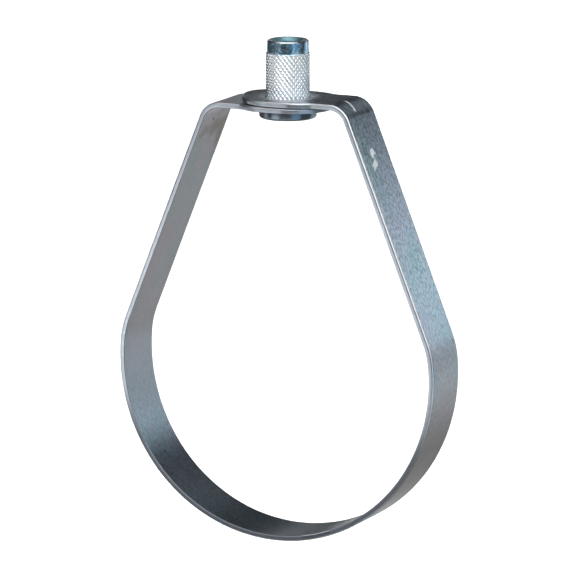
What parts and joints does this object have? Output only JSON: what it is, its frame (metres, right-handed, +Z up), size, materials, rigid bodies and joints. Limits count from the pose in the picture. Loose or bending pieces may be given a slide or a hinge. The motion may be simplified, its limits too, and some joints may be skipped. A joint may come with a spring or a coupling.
{
  "type": "swivel ring hanger",
  "caption": "Pear-shaped band hanger that carries a pipe under a threaded rod, with lapped eyes and a knurled flanged swivel nut.",
  "frame": {"origin": "on the rod thread's axis, level with the flange face that the band rests on", "axes": "+Z up the rod, +Y along the pipe, +X across the ring towards the leg whose end is the upper eye"},
  "size_m": [0.1194, 0.028, 0.1741],
  "materials": {
    "galvanised_strip": "galvanised, slightly mottled, satin",
    "bright_zinc_steel": "bright zinc plated, glossy"
  },
  "bodies": {
    "nut": {"swivel_nut": "bright_zinc_steel"},
    "ring": {"band": "galvanised_strip"}
  },
  "joints": [
    {"name": "swivel", "type": "hinge", "parent": "nut", "child": "ring", "pos_m": [0, 0, 0], "axis": [0, 0, 1], "continuous": true}
  ]
}
